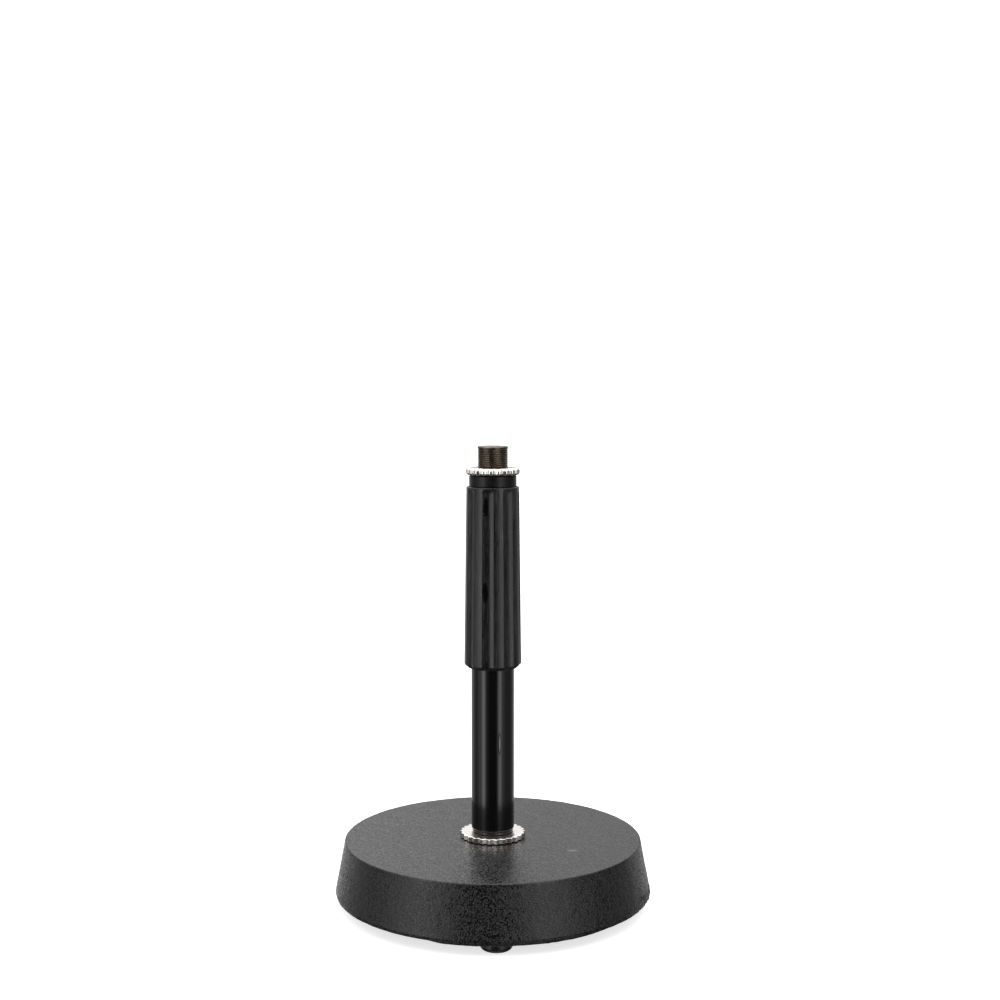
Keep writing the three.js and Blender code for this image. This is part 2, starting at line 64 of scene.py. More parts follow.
BASE_SEGMENTS = 720
BASE_GRID = 0.7  # spacing of the rings that carry the cast grain
BASE_PLATE = 5
BASE_WALL = 5
SKIRT_DRAFT = 5.05  # how much wider the skirt is at its rim than at the top
RIM_BAND = 1.8  # the skirt's lowest edge, which draws in a little
RIM_UNDERCUT = 0.3
HUB_RADIUS = 18
HUB_BOTTOM = 10.5
HUB_HOLE = 8.24
RIB_WIDTH = 5
RIB_BOTTOM = 14
BOSS_RADIUS = 8.8
BOSS_TOP_RADIUS = 6.8
RECESS_RADIUS = 8.5
COARSE_LUMPS = (0.14, 0.1)  # of each relief, how many per millimetre and how deep
FINE_LUMPS = (0.33, 0.06)
CAST_GRAIN = (0.62, 0.07)
FLASH_FROM_DEG, FLASH_TO_DEG = 62, 95  # rough casting flash low on the skirt, from -Y to +X
FLASH_TOP = 14
FLASH_SWELL = 0.55
FLASH_PIT = 2.2
LIP_FROM_DEG, LIP_TO_DEG = -22, 44  # where the rim hangs a little lower
LIP_HEIGHT = 1.6
LIP_DROP = 0.75

FOOT_SEAT = 8.5
FOOT_BULGE = 2.5  # height of the foot's rounded lower edge
FOOT_FLAT = 5.0  # radius of its flat bottom
SCREW_HOLE = 1.9
SCREW_HOLE_TOP = 17.5
SCREW_RADIUS = 1.6
SCREW_HEAD_RADIUS = 2.9
SCREW_PITCH = 0.8
SCREW_THREAD_DEPTH = 0.3

FLUTES = 8
FLUTE_PHASE_DEG = -10
FLUTE_HALF_WIDTH_DEG = 11.8
FLUTE_DEPTH = 0.95
FLUTE_END = 0.9  # plain wall left above the flutes
FLUTE_RUN_IN = 2.6
BASE_RING_TEETH = 26
BASE_TOOTH_DEPTH = 1.25
BASE_TOOTH_WIDTH = 0.95  # share of the pitch
TOP_RING_TEETH = 20
TOP_TOOTH_DEPTH = 0.9
TOP_TOOTH_PHASE_DEG = 5.0
LOBE_SHARPNESS = 1.7
TOOTH_REACH = 3.0

FLANGE_LOW, FLANGE_HIGH = 37.5, 38.8
SPIGOT = 9.4  # the ends of the stud and the clutch body inside the lower tube
LOWER_TUBE_BORE = 9.7
CLUTCH_BORE = 8.3
CLUTCH_SEAT = 10.0  # the seat's radius at its wide end
SEAT_LENGTH = 14
CLUTCH_THREAD = 10.6
CLUTCH_THREAD_DEPTH = 0.45
NUT_BORE, NUT_RADIUS = 10.9, 11.9
CAP_LIP_BORE = 8.3
CAP_BORE = 10.0
CAP_SPIGOT = 10.6
COLLET_HEAD = 10.3
SLIT_REACH = 12
SLIDING_BORE = 8.25  # bore of the pieces that slide on the upper tube
WIPER_RADIUS = 9.7
SKIRT_BUSH_BORE, SKIRT_BUSH_RADIUS = 11.35, 11.95
GUIDE_RADIUS = 9.4
UPPER_TUBE_RADIUS = 7.95
UPPER_TUBE_BORE = 6.5
UPPER_SPIGOT = 6.2
CLIP_GROOVE = 7.35
BEAD_LOW, BEAD_HIGH = 65.4, 67.9


@lru_cache(maxsize=None)
def lowest(node):
    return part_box(node)[0] / MM


@lru_cache(maxsize=None)
def highest(node):
    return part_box(node)[1] / MM


def centre(node):
    low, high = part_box(node)
    return (low + high) / 2 / MM


# ---- materials ---------------------------------------------------------------------------

# marks on the surfaces: middle, size on each axis and raggedness, in millimetres
SCUFF = ((40.3, -24.9, 34), (2.6, 1.3, 2), 0.6)
FLAT_TOP = ((0, 0, 34.6), (140, 140, 2.5), 0)
TUBE_SCRATCH = ((3.6, -10.5, 85.5), (0.3, 1.0, 4.6), 0.3)
TUBE_SCRAPE = ((3.3, -10.6, 85.5), (1.3, 1.0, 6.0), 0.4)
UPPER_SMEAR = ((-3.6, -13.0, 207.5), (1.5, 2.5, 5.5), 1.1)
LOWER_SMEAR = ((-3.9, -13.3, 163.5), (1.6, 2.5, 5.5), 1.1)
THIN_SMEAR = ((0.8, -13.9, 198), (0.22, 1.5, 8), 0.5)
RIGHT_SMEAR = ((6.4, -12.3, 174), (0.9, 2.0, 7), 1.2)


class Shader:
    """A principled material, and the few nodes that its finish is made of."""

    def __init__(self, name, colour, roughness, metallic=0.0, **sockets):
        self.material = bpy.data.materials.new(name)
        self.material.use_nodes = True
        self.nodes = self.material.node_tree.nodes
        self.links = self.material.node_tree.links
        self.principled = self.nodes["Principled BSDF"]
        self.set("Base Color", (*colour, 1.0))
        self.set("Roughness", roughness)
        self.set("Metallic", metallic)
        for socket, value in sockets.items():
            self.set(socket.replace("_", " "), value)
        self.coordinates = self.nodes.new("ShaderNodeTexCoord")
        self.last_normal = None

    def set(self, socket, value):
        self.principled.inputs[socket].default_value = value

    def stretched(self, scale):
        """Object coordinates in millimetres, scaled on each axis."""
        mapping = self.nodes.new("ShaderNodeMapping")
        mapping.inputs["Scale"].default_value = [s / MM for s in scale]
        self.links.new(self.coordinates.outputs["Object"], mapping.inputs["Vector"])
        return mapping.outputs["Vector"]

    def noise(self, per_mm, detail=2.0, roughness=0.5, scale=(1, 1, 1)):
        node = self.nodes.new("ShaderNodeTexNoise")
        node.inputs["Scale"].default_value = per_mm
        node.inputs["Detail"].default_value = detail
        node.inputs["Roughness"].default_value = roughness
        self.links.new(self.stretched(scale), node.inputs["Vector"])
        return node.outputs["Fac"]

    def ramp(self, source, low, high, start=0.0, end=1.0):
        """Maps source from low..high onto start..end, clamped."""
        node = self.nodes.new("ShaderNodeMapRange")
        node.inputs["From Min"].default_value = low
        node.inputs["From Max"].default_value = high
        node.inputs["To Min"].default_value = start
        node.inputs["To Max"].default_value = end
        self.links.new(source, node.inputs["Value"])
        return node.outputs["Result"]

    def patch(self, middle, size, raggedness):
        """1 inside an ellipsoid round middle, in millimetres, with a ragged edge."""
        mapping = self.nodes.new("ShaderNodeMapping")
        mapping.inputs["Scale"].default_value = [1 / (MM * s) for s in size]
        mapping.inputs["Location"].default_value = [-m / s for m, s in zip(middle, size)]
        self.links.new(self.coordinates.outputs["Object"], mapping.inputs["Vector"])
        length = self.nodes.new("ShaderNodeVectorMath")
        length.operation = "LENGTH"
        self.links.new(mapping.outputs["Vector"], length.inputs[0])
        edge = self.add(
            length.outputs["Value"], self.multiply(self.noise(0.9, 2.0), raggedness))
        return self.ramp(edge, 0.7 + raggedness / 2, 1.1 + raggedness / 2, 1.0, 0.0)

    def add(self, first, second):
        return self.combine("ADD", first, second)

    def multiply(self, first, second):
        return self.combine("MULTIPLY", first, second)

    def combine(self, operation, first, second):
        node = self.nodes.new("ShaderNodeMath")
        node.operation = operation
        for socket, value in zip(node.inputs, (first, second)):
            if isinstance(value, (int, float)):
                socket.default_value = value
            else:
                self.links.new(value, socket)
        return node.outputs["Value"]

    def blend(self, factor, first, second):
        """A colour between first and second; second may be a colour or a socket."""
        node = self.nodes.new("ShaderNodeMix")
        node.data_type = "RGBA"
        self.links.new(factor, node.inputs["Factor"])
        for socket, value in ((node.inputs["A"], first), (node.inputs["B"], second)):
            if isinstance(value, tuple):
                socket.default_value = (*value, 1.0)
            else:
                self.links.new(value, socket)
        return node.outputs["Result"]

    def drive(self, socket, source):
        self.links.new(source, self.principled.inputs[socket])

    def bump(self, height, depth_mm):
        """Adds a relief of depth_mm over the bumps made so far."""
        node = self.nodes.new("ShaderNodeBump")
        node.inputs["Strength"].default_value = 1.0
        node.inputs["Distance"].default_value = depth_mm * MM
        self.links.new(height, node.inputs["Height"])
        if self.last_normal:
            self.links.new(self.last_normal, node.inputs["Normal"])
        self.last_normal = node.outputs["Normal"]
        self.links.new(self.last_normal, self.principled.inputs["Normal"])


def cast_paint():
    """Semi-gloss black paint over cast iron: sandy grain, small pits with painted glints as lighter
    specks, uneven sheen.
    """
    shader = Shader("textured_black_paint", (0.003, 0.003, 0.0032), 0.2)
    mottle = shader.noise(0.22, 3.0, 0.6)
    grain = shader.noise(0.75, 3.0, 0.7)
    pits_and_glints = shader.noise(1.25, 2.0, 0.6)
    colour = shader.blend(
        shader.ramp(mottle, 0.35, 0.65), (0.001, 0.001, 0.0012), (0.003, 0.003, 0.0032))
    # the lighter specks in the pits are painted glints, not the paint's own colour
    colour = shader.blend(
        shader.ramp(pits_and_glints, 0.42, 0.54, 1.0, 0.0), colour, (0.01, 0.01, 0.0105))
    scuff = shader.patch(*SCUFF)
    shader.drive("Base Color", shader.blend(scuff, colour, (0.08, 0.08, 0.081)))
    sheen = shader.add(
        shader.ramp(pits_and_glints, 0.4, 0.54, 0.55, 0.12), shader.ramp(mottle, 0.35, 0.65, 0.0, 0.07))
    shader.drive("Roughness", sheen)
    shader.bump(mottle, 0.08)
    # the flat top has a coarser orange peel and finer grain than the skirt
    top = shader.patch(*FLAT_TOP)
    finer = shader.add(shader.multiply(top, -0.45), 1.0)
    shader.bump(shader.multiply(shader.ramp(grain, 0.42, 0.6), finer), 0.05)
    shader.bump(shader.multiply(shader.ramp(pits_and_glints, 0.38, 0.56), finer), 0.045)
    shader.bump(shader.multiply(shader.noise(0.5, 1.5, 0.5), top), 0.16)
    return shader.material


def gloss_enamel():
    """Smooth gloss black enamel with faint polish marks along the tube and one scratch."""
    shader = Shader("gloss_black_enamel", (0.002, 0.002, 0.002), 0.14)
    streaks = shader.noise(1.0, 2.0, 0.5, (2.2, 2.2, 0.06))
    scratch = shader.patch(*TUBE_SCRATCH)
    scraped = shader.patch(*TUBE_SCRAPE)
    shader.drive("Base Color", shader.blend(scratch, (0.002, 0.002, 0.002), (0.16, 0.16, 0.16)))
    shader.drive("Roughness", shader.add(
        shader.ramp(streaks, 0.3, 0.7, 0.11, 0.18), shader.multiply(scraped, 0.4)))
    shader.bump(shader.noise(0.25, 1.0, 0.5), 0.012)
    return shader.material


def sleeve_plastic():
    """Satin moulded plastic with handling marks that run along the flutes."""
    shader = Shader("satin_black_plastic", (0.005, 0.005, 0.0052), 0.3,
                    Specular_IOR_Level=0.45)
    handling = shader.noise(0.16, 3.0, 0.6, (1, 1, 0.35))
    streaks = shader.noise(1.0, 3.0, 0.6, (1.6, 1.6, 0.09))
    worn = shader.blend(
        shader.ramp(handling, 0.4, 0.7), (0.003, 0.003, 0.0032), (0.008, 0.008, 0.0084))
    worn = shader.blend(shader.ramp(streaks, 0.52, 0.7), worn, (0.02, 0.02, 0.0205))
    greased = shader.add(
        shader.add(shader.patch(*UPPER_SMEAR), shader.patch(*LOWER_SMEAR)),
        shader.add(shader.patch(*THIN_SMEAR), shader.patch(*RIGHT_SMEAR)))
    shader.drive("Base Color", shader.blend(greased, worn, (0.001, 0.001, 0.001)))
    satin = shader.ramp(handling, 0.35, 0.65, 0.25, 0.37)
    shader.drive("Roughness", shader.add(satin, shader.multiply(greased, -0.17)))
    shader.bump(streaks, 0.025)
    shader.bump(shader.noise(3.0, 2.0, 0.5), 0.012)
    return shader.material


def satin_paint():
    """Satin black paint on turned metal, with a faint tool lay round it."""
    shader = Shader("satin_black_paint", (0.003, 0.003, 0.003), 0.35, Specular_IOR_Level=0.3)
    lay = shader.noise(1.0, 2.0, 0.5, (0.1, 0.1, 5.0))
    shader.drive("Roughness", shader.ramp(shader.noise(0.5, 2.0), 0.35, 0.65, 0.3, 0.4))
    shader.bump(lay, 0.008)
    return shader.material


def nickel_plate():
    """Bright warm nickel, slightly cloudy, dulled in patches."""
    shader = Shader("nickel_plate", (0.8, 0.74, 0.69), 0.2, 1.0)
    cloud = shader.noise(0.5, 3.0, 0.6)
    shader.drive("Base Color", shader.blend(
        shader.ramp(cloud, 0.35, 0.7), (0.93, 0.89, 0.85), (0.84, 0.78, 0.73)))
    shader.drive("Roughness", shader.ramp(cloud, 0.3, 0.7, 0.2, 0.3))
    shader.bump(shader.noise(3.0, 2.0), 0.006)
    return shader.material


def dark_nickel():
    """Turned steel in nickel, coloured dark and slightly brown: partly a darker finish, partly
    painted shade.
    """
    shader = Shader("dark_nickel", (0.16, 0.13, 0.1), 0.32, 1.0)
    cloud = shader.noise(0.6, 3.0, 0.6)
    # the dark brown tone is partly painted shade, not only the finish
    shader.drive("Base Color", shader.blend(
        shader.ramp(cloud, 0.35, 0.7), (0.2, 0.165, 0.135), (0.12, 0.092, 0.07)))
    shader.drive("Roughness", shader.ramp(cloud, 0.3, 0.7, 0.26, 0.4))
    shader.bump(shader.noise(1.0, 2.0, 0.5, (0.3, 0.3, 6.0)), 0.008)
    return shader.material


def zinc_steel():
    """Turned steel with dull zinc plating."""
    shader = Shader("zinc_steel", (0.5, 0.5, 0.49), 0.35, 1.0)
    cloud = shader.noise(0.7, 3.0, 0.6)
    shader.drive("Base Color", shader.blend(
        shader.ramp(cloud, 0.3, 0.7), (0.56, 0.56, 0.55), (0.42, 0.42, 0.4)))
    shader.drive("Roughness", shader.ramp(cloud, 0.3, 0.7, 0.28, 0.45))
    shader.bump(shader.noise(1.0, 2.0, 0.5, (0.3, 0.3, 6.0)), 0.01)
    return shader.material


def black_oxide_steel():
    """Turned steel blackened in a bath, with the tool lay still showing."""
    shader = Shader("black_oxide_steel", (0.02, 0.018, 0.016), 0.3, 0.0)
    wear = shader.noise(0.9, 3.0, 0.6)
    shader.drive("Base Color", shader.blend(
        shader.ramp(wear, 0.5, 0.75), (0.008, 0.007, 0.0065), (0.03, 0.026, 0.022)))
    shader.drive("Roughness", shader.ramp(wear, 0.3, 0.7, 0.22, 0.36))
    shader.bump(shader.noise(1.0, 2.0, 0.5, (0.3, 0.3, 6.0)), 0.01)
    return shader.material


def black_rubber():
    """Moulded rubber with a skin sheen and a fine bloom."""
    shader = Shader("black_rubber", (0.006, 0.006, 0.006), 0.32)
    dust = shader.noise(0.9, 3.0, 0.7)
    shader.drive("Base Color", shader.blend(
        shader.ramp(dust, 0.5, 0.8), (0.004, 0.004, 0.004), (0.014, 0.014, 0.0138)))
    shader.drive("Roughness", shader.ramp(dust, 0.3, 0.7, 0.24, 0.42))
    shader.bump(shader.noise(4.0, 2.0), 0.006)
    return shader.material


def bare_brass():
    """Bare brass, lightly tarnished."""
    shader = Shader("bare_brass", (0.6, 0.44, 0.18), 0.3, 1.0)
    tarnish = shader.noise(0.8, 3.0, 0.6)
    shader.drive("Base Color", shader.blend(
        shader.ramp(tarnish, 0.4, 0.7), (0.66, 0.48, 0.2), (0.4, 0.28, 0.12)))
    shader.drive("Roughness", shader.ramp(tarnish, 0.3, 0.7, 0.22, 0.42))
    return shader.material


def natural_nylon():
    """Milky unfilled nylon with a faint moulded grain."""
    shader = Shader("natural_nylon", (0.75, 0.72, 0.62), 0.45)
    shader.set("Subsurface Weight", 0.25)
    shader.set("Subsurface Radius", (0.002, 0.0018, 0.0014))
    cloud = shader.noise(0.6, 2.0)
    shader.drive("Base Color", shader.blend(
        shader.ramp(cloud, 0.3, 0.7), (0.78, 0.75, 0.66), (0.7, 0.67, 0.56)))
    shader.drive("Roughness", shader.ramp(cloud, 0.3, 0.7, 0.38, 0.52))
    shader.bump(shader.noise(3.0, 2.0), 0.01)
    return shader.material


MATERIALS = {
    "textured_black_paint": cast_paint(),
    "black_rubber": black_rubber(),
    "zinc_steel": zinc_steel(),
    "black_oxide_steel": black_oxide_steel(),
    "nickel_plate": nickel_plate(),
    "dark_nickel": dark_nickel(),
    "gloss_black_enamel": gloss_enamel(),
    "satin_black_plastic": sleeve_plastic(),
    "satin_black_paint": satin_paint(),
    "bare_brass": bare_brass(),
    "natural_nylon": natural_nylon(),
}

# ---- mesh code ---------------------------------------------------------------------------


def clamped(value):
    return min(1.0, max(0.0, value))


def smoothed(mesh):
    """Shades the mesh smooth, apart from its sharp edges."""
    mesh.shade_smooth()
    mesh.set_sharp_from_angle(angle=math.radians(SHARP_EDGE_DEG))


def block(size, middle, turn_deg):
    """A box as a bmesh in millimetres, moved to its middle and then turned about +Z."""
    made = bmesh.new()
    bmesh.ops.create_cube(made, size=1)
    bmesh.ops.scale(made, vec=size, verts=made.verts)
    bmesh.ops.translate(made, vec=middle, verts=made.verts)
    turn = Matrix.Rotation(math.radians(turn_deg), 3, "Z")
    bmesh.ops.rotate(made, matrix=turn, verts=made.verts)
    return made


def rounded(corners, steps=4, hold=0.12):
    """A closed outline from (radius, z, fillet) corners, each one rounded by its fillet.

    A point a little before and after each arc holds the flat between two arcs flat.
    """
    points = []
    count = len(corners)
    for index, (radius, z, fillet) in enumerate(corners):
        here = Vector((radius, z))
        before = Vector(corners[index - 1][:2]) - here
        after = Vector(corners[(index + 1) % count][:2]) - here
        if fillet <= 0:
            points.append(here)
            continue
        half_angle = before.angle(after) / 2
        reach = min(fillet / math.tan(half_angle), 0.48 * before.length, 0.48 * after.length)
        true_fillet = reach * math.tan(half_angle)
        middle = (before.normalized() + after.normalized()).normalized()
        hub = here + middle * (true_fillet / math.sin(half_angle))
        start = here + before.normalized() * reach
        end = here + after.normalized() * reach
        if reach + hold < 0.49 * before.length:
            points.append(start + before.normalized() * hold)
        for step in range(steps + 1):
            chord = start.lerp(end, step / steps) - hub
            points.append(hub + chord.normalized() * true_fillet)
        if reach + hold < 0.49 * after.length:
            points.append(end + after.normalized() * hold)
    return [(point.x, point.y) for point in points]


def divided(outline, spacing, where=lambda radius, z: True):
    """The outline with its long stretches divided, where both their ends pass the test."""
    result = []
    for index, (radius, z) in enumerate(outline):
        next_radius, next_z = outline[(index + 1) % len(outline)]
        result.append((radius, z))
        length = math.hypot(next_radius - radius, next_z - z)
        if length <= spacing or not (where(radius, z) and where(next_radius, next_z)):
            continue
        pieces = math.ceil(length / spacing)
        for piece in range(1, pieces):
            part = piece / pieces
            result.append((radius + (next_radius - radius) * part, z + (next_z - z) * part))
    return result


def finish_mesh(name, mesh_data, material):
    """A smooth-shaded object from a bmesh in millimetres, with its faces pointing out."""
    bmesh.ops.recalc_face_normals(mesh_data, faces=mesh_data.faces)
    bmesh.ops.scale(mesh_data, vec=(MM, MM, MM), verts=mesh_data.verts)
    mesh = bpy.data.meshes.new(name)
    mesh_data.to_mesh(mesh)
    mesh_data.free()
    smoothed(mesh)
    mesh.materials.append(MATERIALS[material])
    piece = bpy.data.objects.new(name, mesh)
    bpy.context.scene.collection.objects.link(piece)
    return piece


def lathe(outline, segments=FINE, reshape=None, at=(0, 0)):
    """A bmesh of the closed outline turned about +Z; reshape may move each (radius, z, angle).

    The angle is measured from -Y towards +X, in radians.
    """
    turned = bmesh.new()
    rings = []
    for segment in range(segments):
        angle = 2 * math.pi * segment / segments
        ring = []
        for radius, z in outline:
            if reshape:
                radius, z = reshape(radius, z, angle)
            ring.append(turned.verts.new(
                (at[0] + radius * math.sin(angle), at[1] - radius * math.cos(angle), z)))
        rings.append(ring)
    count = len(outline)
    for segment, ring in enumerate(rings):
        next_ring = rings[(segment + 1) % segments]
        for index in range(count):
            after = (index + 1) % count
            turned.faces.new((ring[index], next_ring[index], next_ring[after], ring[after]))
    return turned


def turned_piece(name, outline, material, segments=FINE, reshape=None, at=(0, 0)):
    return finish_mesh(name, lathe(outline, segments, reshape, at), material)


def stands_for(piece, node, body):
    """The piece is shown in place of its CAD node and moves with its body."""
    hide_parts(node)
    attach(piece, body)


def wave(angle, count):
    """Distance from the nearest of count evenly spaced lines, as -0.5..0.5 of their pitch."""
    return (angle * count / (2 * math.pi) + 0.5) % 1.0 - 0.5


def threaded(outer_radius, low, high, pitch, depth):
    """A reshape that cuts a right-hand V thread into the surface at outer_radius."""
    runout = pitch * 0.8

    def reshape(radius, z, angle):
        inside = low <= z <= high
        if not inside or radius < outer_radius - 0.02:
            return radius, z
        # the angle runs from -Y towards +X, so a right-hand thread rises with it
        turn = (z / pitch - angle / (2 * math.pi)) % 1.0
        groove = 1 - abs(2 * turn - 1)
        groove = clamped((groove - THREAD_CREST) / (1 - 2 * THREAD_CREST))
        fade = min(1.0, (z - low) / runout, (high - z) / runout)
        return radius - depth * groove * max(0.0, fade), z

    return reshape


# ---- base --------------------------------------------------------------------------------

FOOT_NODES = [f"rubber_foot_{number}" for number in (1, 2, 3, 4)]


def cylinder(radius, low, high, at, segments=COARSE, top_radius=None):
    """A round cutter or boss as a bmesh in millimetres, tapered where it has a top radius."""
    made = bmesh.new()
    place = Matrix.Translation((at[0], at[1], (low + high) / 2))
    bmesh.ops.create_cone(
        made, cap_ends=True, segments=segments, radius1=radius, radius2=top_radius or radius,
        depth=high - low, matrix=place)
    return made


def joined(parts):
    """One bmesh holding all of the parts."""
    whole = bmesh.new()
    for part in parts:
        mesh = bpy.data.meshes.new("part")
        part.to_mesh(mesh)
        part.free()
        whole.from_mesh(mesh)
        bpy.data.meshes.remove(mesh)
    return whole


def combined(piece, operation, tool_mesh):
    """Applies one boolean of the tool to the piece; the tool is a bmesh in millimetres."""
    tool = finish_mesh("tool", tool_mesh, "zinc_steel")
    modifier = piece.modifiers.new("boolean", "BOOLEAN")
    modifier.operation = operation
    modifier.solver = "MANIFOLD"
    modifier.object = tool
    depsgraph = bpy.context.evaluated_depsgraph_get()
    mesh = bpy.data.meshes.new_from_object(piece.evaluated_get(depsgraph))
    piece.modifiers.clear()
    old = piece.data
    piece.data = mesh
    bpy.data.meshes.remove(old)
    bpy.data.objects.remove(tool)
    while len(mesh.materials) > 1:
        mesh.materials.pop()


def base_outline():
    """Section of the casting: plate, conical skirt and hub."""
    top = highest("base_casting").z
    rim = lowest("base_casting").z
    rim_radius = highest("base_casting").x
    top_radius = rim_radius - SKIRT_DRAFT
    plate = top - BASE_PLATE
    return divided(rounded([
        (HUB_HOLE, top, 0.5),
        (HUB_HOLE, HUB_BOTTOM, 0.4),
        (HUB_RADIUS, HUB_BOTTOM, 1.0),
        (HUB_RADIUS + 1, plate, 2.5),
        (top_radius - BASE_WALL, plate, 3.0),
        (rim_radius - BASE_WALL, rim, 1.2),
        (rim_radius - RIM_UNDERCUT, rim, 0.5),
        (rim_radius, rim + RIM_BAND, 1.0),
        (top_radius, top, 0.9),
    ]), BASE_GRID, lambda radius, z: radius > rim_radius - BASE_WALL or z > plate + 0.5)


def base_ribs_and_bosses():
    rim_radius = highest("base_casting").x
    plate = highest("base_casting").z - BASE_PLATE
    parts = []
    length = rim_radius - SKIRT_DRAFT - BASE_WALL - HUB_RADIUS + 4
    height = plate - RIB_BOTTOM + 1
    middle = (HUB_RADIUS - 1 + length / 2, 0, RIB_BOTTOM + height / 2)
    for rib in range(4):
        parts.append(block((length, RIB_WIDTH, height), middle, 45 + 90 * rib))
    for node in FOOT_NODES:
        at = centre(node)
        parts.append(
            cylinder(BOSS_RADIUS, FOOT_SEAT, plate + 0.5, at, top_radius=BOSS_TOP_RADIUS))
    return joined(parts)


def base_cutters():
    rim = lowest("base_casting").z
    parts = []
    for node in FOOT_NODES:
        at = centre(node)
        recess = cylinder(RECESS_RADIUS, rim - 1, FOOT_SEAT, at)
        hole = cylinder(SCREW_HOLE, FOOT_SEAT - 1, SCREW_HOLE_TOP, at, COARSE // 2)
        parts += [recess, hole]
    return parts


def relief(place, pattern):
    per_mm, depth = pattern
    return noise.noise(place * per_mm) * depth


def cast_grain(piece):
    """Moves the casting's vertices: grain, lumps, a lip on the rim and flash on its right."""
    mesh = piece.data
    rim = lowest("base_casting").z
    rim_radius = highest("base_casting").x
    plate = highest("base_casting").z - BASE_PLATE
    normals = [vertex.normal.copy() for vertex in mesh.vertices]
    for vertex, normal in zip(mesh.vertices, normals):
        place = vertex.co / MM
        radius = math.hypot(place.x, place.y)
        outside = place.z > plate + 0.5 or radius > rim_radius - BASE_WALL + 0.2
        if not outside or radius < HUB_HOLE + 0.8:
            continue
        lumps = relief(place, COARSE_LUMPS) + relief(place, FINE_LUMPS)
        grain = relief(place, CAST_GRAIN)
        angle = math.degrees(math.atan2(place.x, -place.y))
        flash = 0.0
        if place.z < FLASH_TOP and FLASH_FROM_DEG < angle < FLASH_TO_DEG:
            fade = min(
                1.0, (angle - FLASH_FROM_DEG) / 12, (FLASH_TO_DEG - angle) / 10,
                (FLASH_TOP - place.z) / 6)
            pit = max(0.0, noise.noise(place * 0.62 + Vector((2, 9, 4))) - 0.12)
            swell = noise.noise(place * 0.4 + Vector((7, 3, 1)))
            flash = (swell * FLASH_SWELL - pit * FLASH_PIT) * fade
        vertex.co += normal * (lumps + grain + flash) * MM
        lip = clamped((angle - LIP_FROM_DEG) / 4) * clamped((LIP_TO_DEG - angle) / 16)
        level = clamped((rim + LIP_HEIGHT - place.z) / LIP_HEIGHT)
        vertex.co.z -= LIP_DROP * lip * level * MM
    mesh.update()


def build_base():
    shell = turned_piece("base_casting_shell", base_outline(), "textured_black_paint",
                         BASE_SEGMENTS)
    combined(shell, "UNION", base_ribs_and_bosses())
    for cutter in base_cutters():
        combined(shell, "DIFFERENCE", cutter)
    smoothed(shell.data)
    cast_grain(shell)
    stands_for(shell, "base_casting", "base")


def foot_outline(node):
    """Domed foot with a screw pocket and a shallow tread groove in its flat bottom."""
    top = highest(node).z
    radius = (highest(node).x - lowest(node).x) / 2
    dome = []
    for step in range(13):
        angle = math.radians(-90 + 90 * step / 12)
        dome.append((
            FOOT_FLAT + (radius - FOOT_FLAT) * math.cos(angle),
            FOOT_BULGE + FOOT_BULGE * math.sin(angle)))
    return [
        (3.3, 0.25), (3.45, 0.06), (3.7, 0), (4.1, 0), (4.2, 0.18), (4.4, 0.18), (4.5, 0),
        *dome,
        (radius, FOOT_BULGE + 1.6), (radius - 0.12, FOOT_BULGE + 1.75),
        (radius - 0.12, FOOT_BULGE + 1.95), (radius, FOOT_BULGE + 2.1),
        (radius, top - 0.3), (radius - 0.3, top),
        (SCREW_HOLE, top), (SCREW_HOLE, 4.0), (3.15, 4.0), (3.3, 3.85),
    ]


def build_feet():
    for number, node in enumerate(FOOT_NODES, 1):
        at = centre(node)
        foot = turned_piece(
            f"rubber_foot_{number}_dome", foot_outline(node), "black_rubber", 96, at=at)
        stands_for(foot, node, "base")

        washer_node = f"foot_washer_{number}"
        low, high = lowest(washer_node).z, highest(washer_node).z
        washer = turned_piece(f"foot_washer_{number}_disc", rounded([
            (SCREW_HOLE, low, 0.1), (3.0, low, 0.15), (3.0, high, 0.15), (SCREW_HOLE, high, 0.1),
        ], 2, 0.05), "zinc_steel", COARSE, at=at)
        stands_for(washer, washer_node, "base")
        build_foot_screw(number, at)


def screw_outline(low, high):
    """Section of the screw: domed head down, threaded shank, pointed tip, all off the axis."""
    radius, head_radius = SCREW_RADIUS, SCREW_HEAD_RADIUS
    head_top = low + 1.7
    core = 0.02  # keeps the outline off the axis
    points = [(core, low)]
    for step in range(1, 8):
        angle = math.radians(90 * step / 7)
        points.append((head_radius * math.sin(angle), low + 0.8 - 0.8 * math.cos(angle)))
    points += [(head_radius, head_top - 0.1), (head_radius - 0.1, head_top), (radius, head_top)]
    shank = high - head_top - 1.2
    rows = int(shank / 0.11)
    points += [(radius, head_top + shank * (row + 1) / rows) for row in range(rows)]
    points.append((core, high))
    return points


def build_foot_screw(number, at):
    node = f"foot_screw_{number}"
    low, high = lowest(node).z, highest(node).z
    thread = threaded(
        SCREW_RADIUS, low + 2.2, high - 1.3, SCREW_PITCH, SCREW_THREAD_DEPTH)
    screw = turned_piece(
        f"foot_screw_{number}_pan_head", screw_outline(low, high), "zinc_steel", COARSE,
        thread, at)
    arms = []
    for turn_deg in (0, 90):
        made = bmesh.new()
        bmesh.ops.create_cube(made, size=1)
        bmesh.ops.scale(made, vec=(3.2, 0.62, 2.2), verts=made.verts)
        for vertex in made.verts:
            if vertex.co.z > 0:
                vertex.co.x *= 0.35
                vertex.co.y *= 0.7
        turn = Matrix.Rotation(math.radians(turn_deg + 20 * number), 3, "Z")
        bmesh.ops.rotate(made, matrix=turn, verts=made.verts)
        bmesh.ops.translate(made, vec=(at[0], at[1], low), verts=made.verts)
        arms.append(made)
    for arm in arms:
        combined(screw, "DIFFERENCE", arm)
    smoothed(screw.data)
    stands_for(screw, node, "base")


# ---- rings -------------------------------------------------------------------------------


